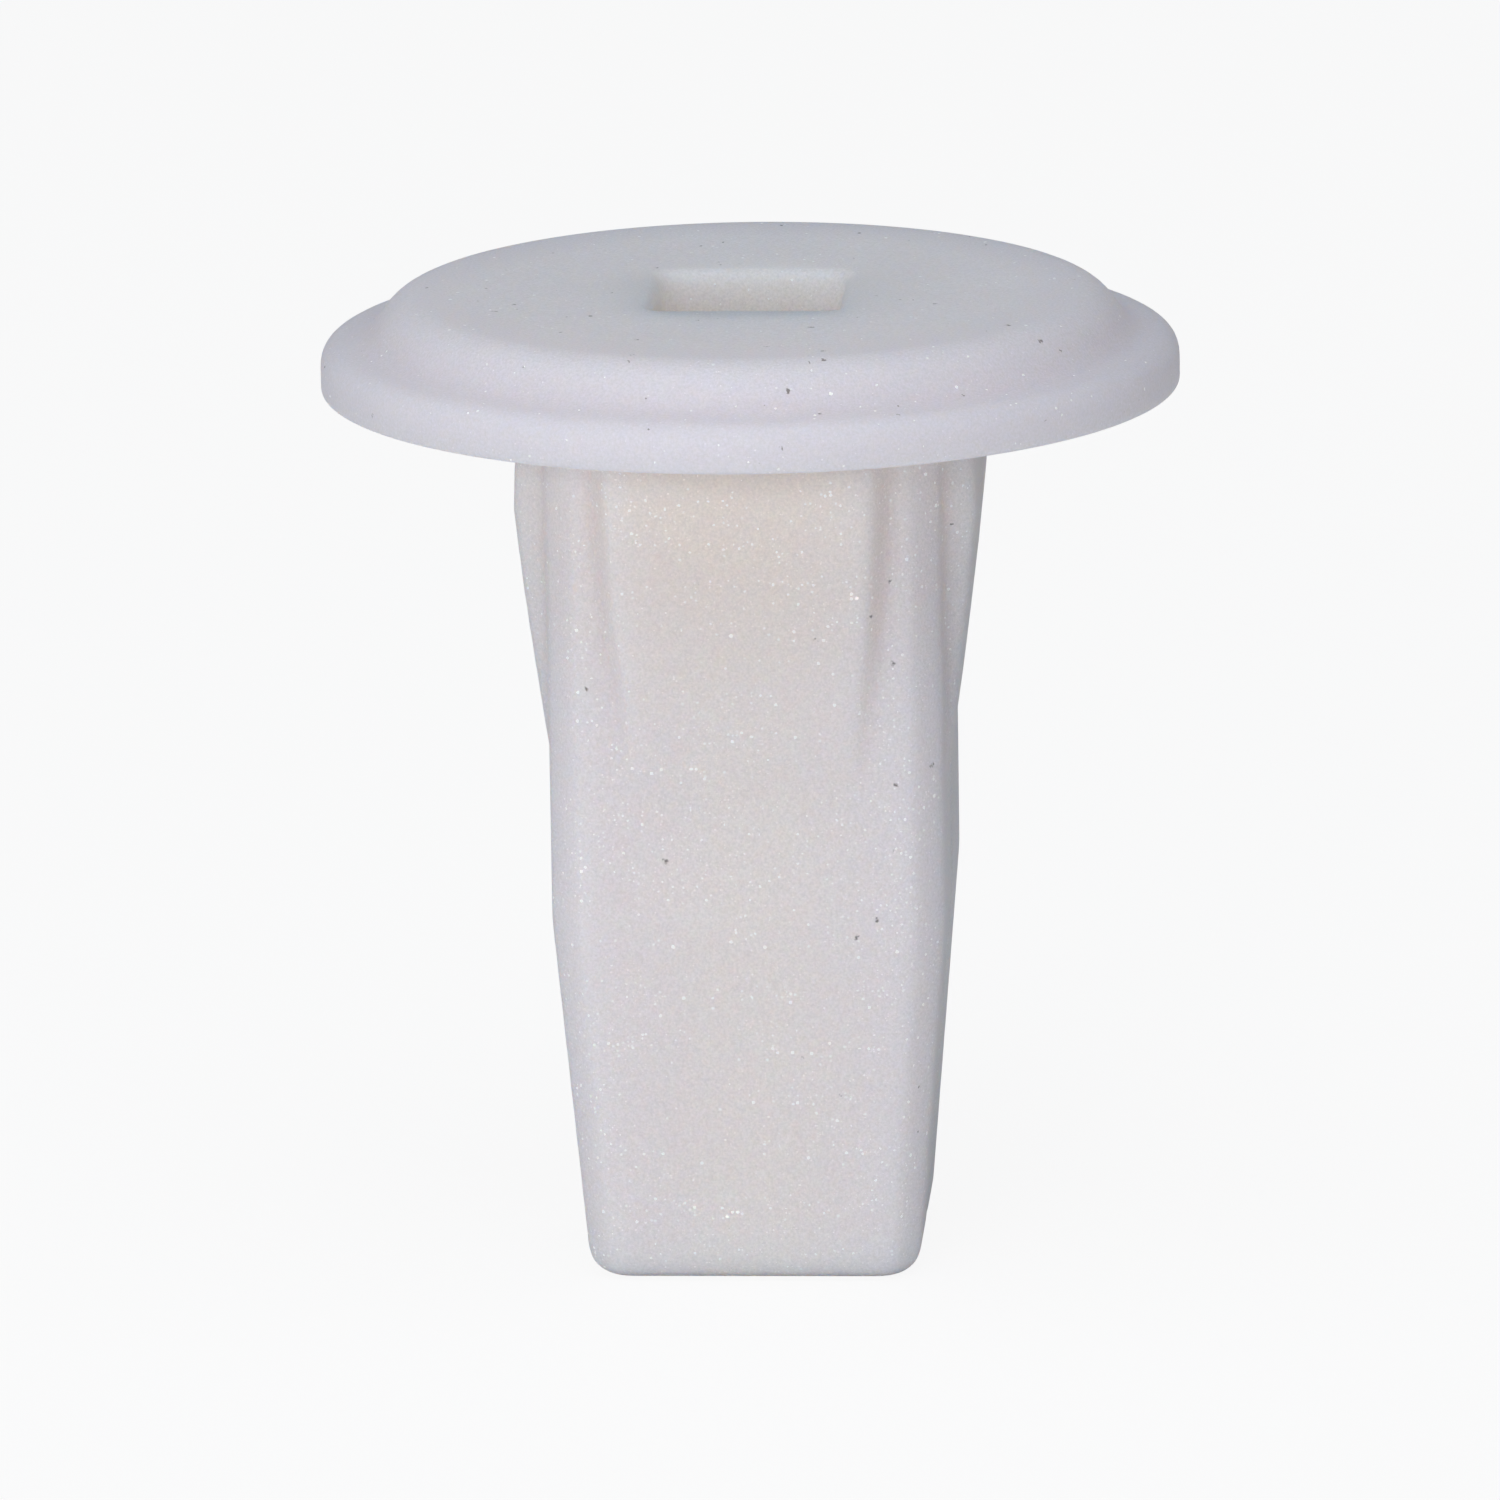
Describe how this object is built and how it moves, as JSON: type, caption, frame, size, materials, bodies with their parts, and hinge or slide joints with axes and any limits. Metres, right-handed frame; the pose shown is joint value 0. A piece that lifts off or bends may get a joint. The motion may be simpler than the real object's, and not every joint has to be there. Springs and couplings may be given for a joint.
{
  "type": "wall anchor",
  "caption": "Push-in nylon screw anchor with a round flange, square screw hole, snap lugs and a split square shank that spreads behind the panel.",
  "frame": {"origin": "centre of the flange's seat face, on the anchor's axis", "axes": "+Z out of the panel along the anchor's axis, towards the screw's side; +X and +Y square to the shank's flats"},
  "size_m": [0.0162, 0.0162, 0.0185],
  "materials": {
    "nylon": "milky translucent moulded nylon, soft satin sheen"
  },
  "bodies": {
    "head": {"flange": "nylon", "upper_sleeve": "nylon", "lug_front": "nylon", "lug_right": "nylon", "lug_back": "nylon", "lug_left": "nylon"},
    "front_leg": {"front_leg": "nylon", "front_wedge": "nylon"},
    "back_leg": {"back_leg": "nylon", "back_wedge": "nylon"}
  },
  "joints": [
    {"name": "front_leg_spread", "type": "hinge", "parent": "head", "child": "front_leg", "pos_m": [0, -0.0037, -0.0072], "axis": [-1, 0, 0], "range_deg": [0, 8], "stiffness_Nm_per_rad": 0.01},
    {"name": "back_leg_spread", "type": "hinge", "parent": "head", "child": "back_leg", "pos_m": [0, 0.0037, -0.0072], "axis": [1, 0, 0], "range_deg": [0, 8], "stiffness_Nm_per_rad": 0.01}
  ],
  "couplings": [
    {"joint": "back_leg_spread", "follows": "front_leg_spread", "ratio": 1}
  ]
}
